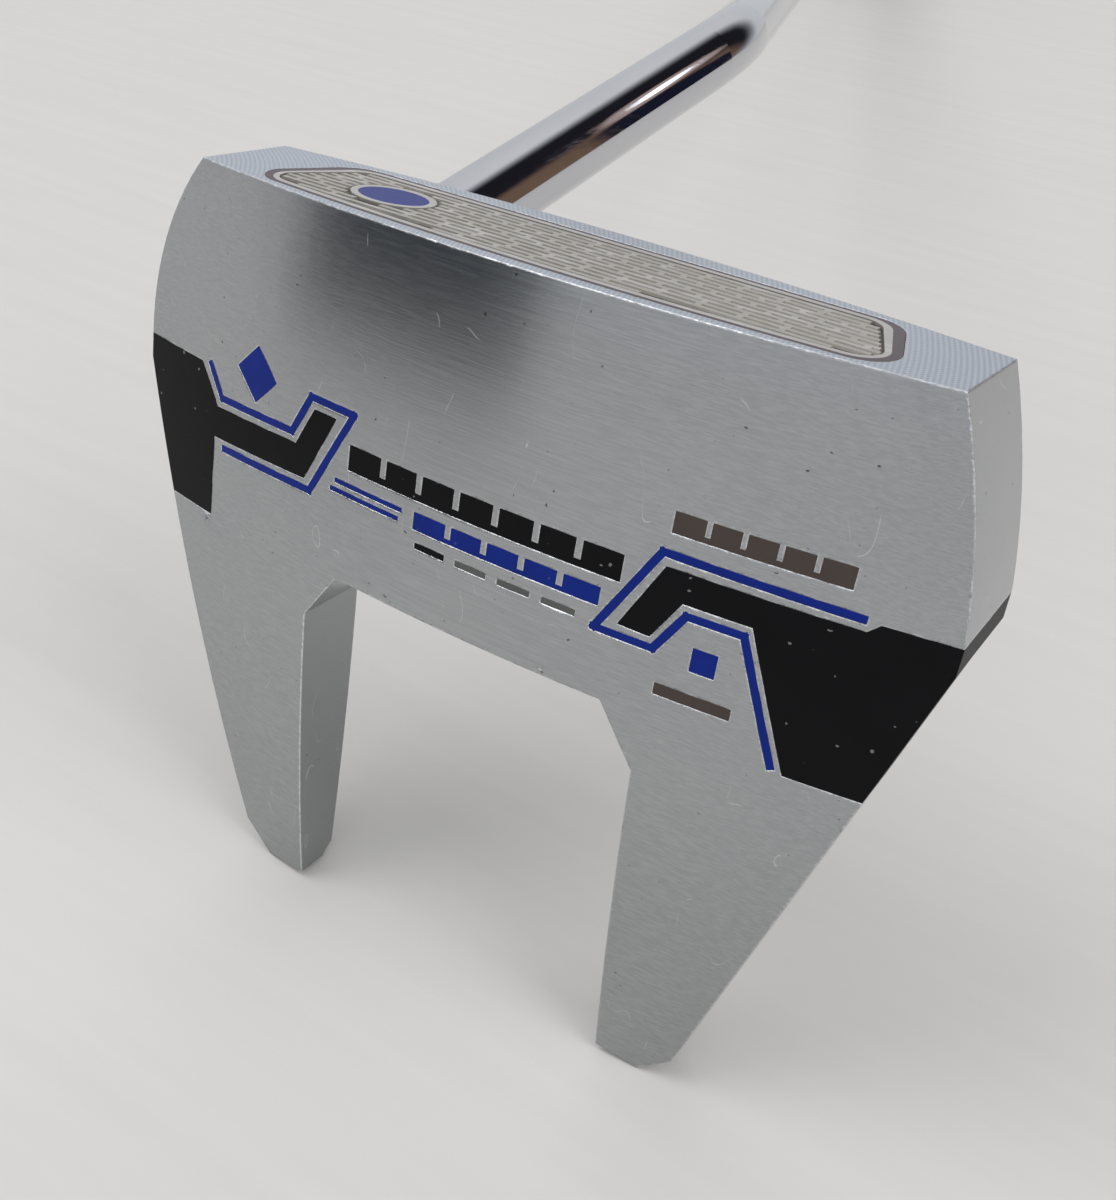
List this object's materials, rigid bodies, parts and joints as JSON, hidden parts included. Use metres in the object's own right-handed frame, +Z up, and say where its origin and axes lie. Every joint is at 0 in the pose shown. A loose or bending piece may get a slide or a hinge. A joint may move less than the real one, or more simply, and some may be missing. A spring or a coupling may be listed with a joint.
{
  "type": "mallet putter",
  "caption": "Left-handed mallet putter with two rear fangs, a face insert, a bent chrome shaft and a rubber pistol grip.",
  "frame": {"origin": "on the floor, midway between the feet of the two fang tips, with the club standing on its fang tips and the end of its grip", "axes": "+X along the face towards the toe, +Y along the floor from the sole towards the grip, +Z up"},
  "size_m": [0.3499, 0.8194, 0.0895],
  "materials": {
    "satin_steel": "satin cast stainless steel with a fine grain",
    "shaft_chrome": "polished chrome plate",
    "band_black": "matt black paint fill",
    "line_blue": "satin royal blue paint fill",
    "mark_brown": "satin brown paint fill",
    "mark_grey": "satin grey paint fill",
    "crown_white": "satin white paint",
    "insert_dark": "dark brown-purple moulded surround",
    "insert_metal": "embossed warm-grey metal face",
    "insert_polymer": "cast urethane",
    "adhesive": "cured adhesive",
    "grip_rubber": "fine-textured rubber",
    "grip_tape": "double-sided paper tape",
    "cap_plastic": "moulded plastic",
    "plug_rubber": "soft plug"
  },
  "bodies": {
    "root": {"head_body": "satin_steel", "insert_surround": "insert_dark", "insert_plate": "insert_metal", "insert_core": "insert_polymer", "insert_adhesive": "adhesive", "insert_badge": "line_blue", "band_heel": "band_black", "band_toe": "band_black", "sole_stripe_heel": "line_blue", "sole_stripe_toe": "line_blue", "sole_mark_heel": "line_blue", "sole_mark_main": "band_black", "sole_mark_second": "line_blue", "sole_mark_brown": "mark_brown", "sole_mark_square": "line_blue", "sole_mark_small": "mark_brown", "sole_line_upper": "line_blue", "sole_line_lower": "line_blue", "sole_dash_1": "band_black", "sole_dash_2": "mark_grey", "sole_dash_3": "mark_grey", "sole_dash_4": "mark_grey", "sight_line": "band_black", "crown_paint_front": "crown_white", "crown_paint_middle": "band_black", "fang_paint_heel": "crown_white", "fang_paint_toe": "crown_white", "window_paint": "band_black", "shaft_tube": "shaft_chrome", "shaft_epoxy": "adhesive", "tip_plug": "plug_rubber", "grip_sleeve": "grip_rubber", "grip_tape": "grip_tape", "grip_cap": "cap_plastic"}
  },
  "joints": []
}
